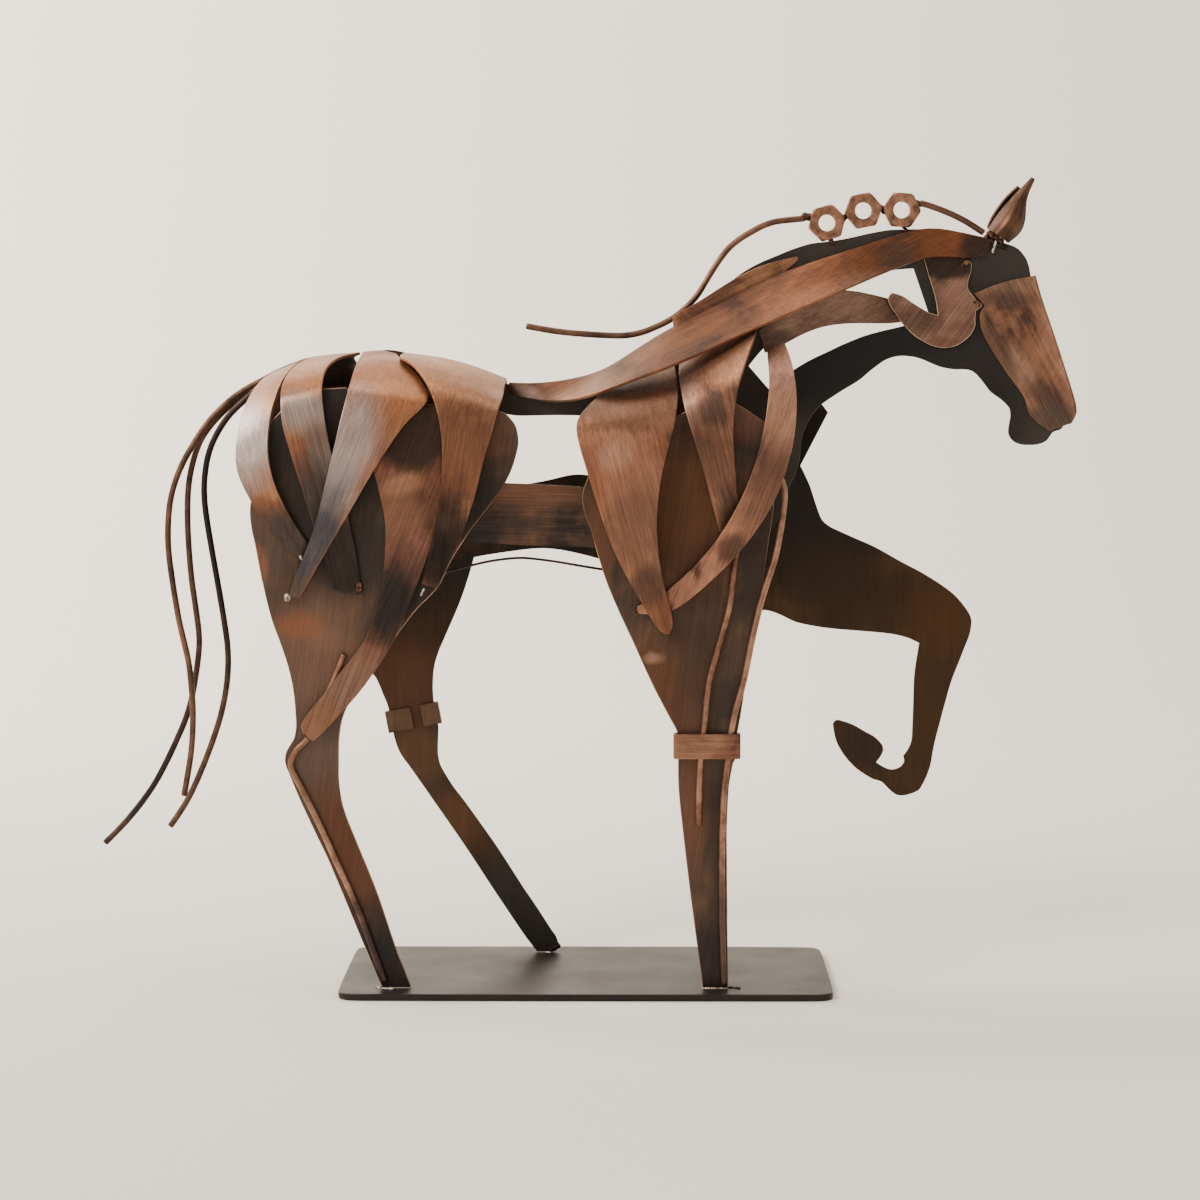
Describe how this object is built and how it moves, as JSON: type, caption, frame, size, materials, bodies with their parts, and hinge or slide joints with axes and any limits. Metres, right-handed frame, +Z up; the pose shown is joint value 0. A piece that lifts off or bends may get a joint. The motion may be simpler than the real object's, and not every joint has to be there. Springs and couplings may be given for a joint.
{
  "type": "horse sculpture",
  "caption": "Figure of a walking horse welded from flat steel plates, bent patinated straps, round rods and hex nuts, standing on a flat rectangular base plate",
  "frame": {"origin": "centre of the base plate's underside", "axes": "+X points to the horse's head along its length, -Y to its near side, +Z up"},
  "size_m": [0.3831, 0.105, 0.3136],
  "materials": {
    "black_steel": "satin black steel with faint brown haze",
    "dark_steel": "blackened steel with a dark brown patina",
    "brown_steel": "heat-browned steel, fine brushed grain",
    "copper_steel": "copper-brown patina over brushed steel, bright worn edges"
  },
  "bodies": {
    "root": {"base": "black_steel", "neck_and_head": "black_steel", "far_hind_leg": "dark_steel", "far_foreleg": "dark_steel", "far_haunch_strap_1": "dark_steel", "far_haunch_strap_2": "dark_steel", "far_haunch_strap_3": "dark_steel", "far_haunch_strap_4": "dark_steel", "far_belly_band": "dark_steel", "far_shoulder_tongue": "dark_steel", "far_shoulder_leaf": "dark_steel", "far_mane_strap": "dark_steel", "belly_wire": "dark_steel", "near_hind_leg": "brown_steel", "near_foreleg": "brown_steel", "thigh_strap": "brown_steel", "near_belly_band": "brown_steel", "far_leg_clamp": "brown_steel", "mane_rod_rear": "brown_steel", "mane_rod_front": "brown_steel", "tail_rod_1": "brown_steel", "tail_rod_2": "brown_steel", "tail_rod_3": "brown_steel", "near_haunch_strap_1": "copper_steel", "near_haunch_strap_2": "copper_steel", "near_haunch_strap_3": "copper_steel", "near_haunch_strap_4": "copper_steel", "near_shoulder_tongue": "copper_steel", "near_shoulder_leaf": "copper_steel", "shoulder_hoop": "copper_steel", "neck_strap": "copper_steel", "near_mane_strap": "copper_steel", "mane_leaf": "copper_steel", "cheek": "copper_steel", "nose_cover": "copper_steel", "near_ear": "copper_steel", "far_ear": "copper_steel", "nut_1": "copper_steel", "nut_2": "copper_steel", "nut_3": "copper_steel", "hind_leg_rod": "copper_steel", "foreleg_rod_1": "copper_steel", "foreleg_rod_2": "copper_steel", "foreleg_band": "copper_steel"}
  },
  "joints": []
}
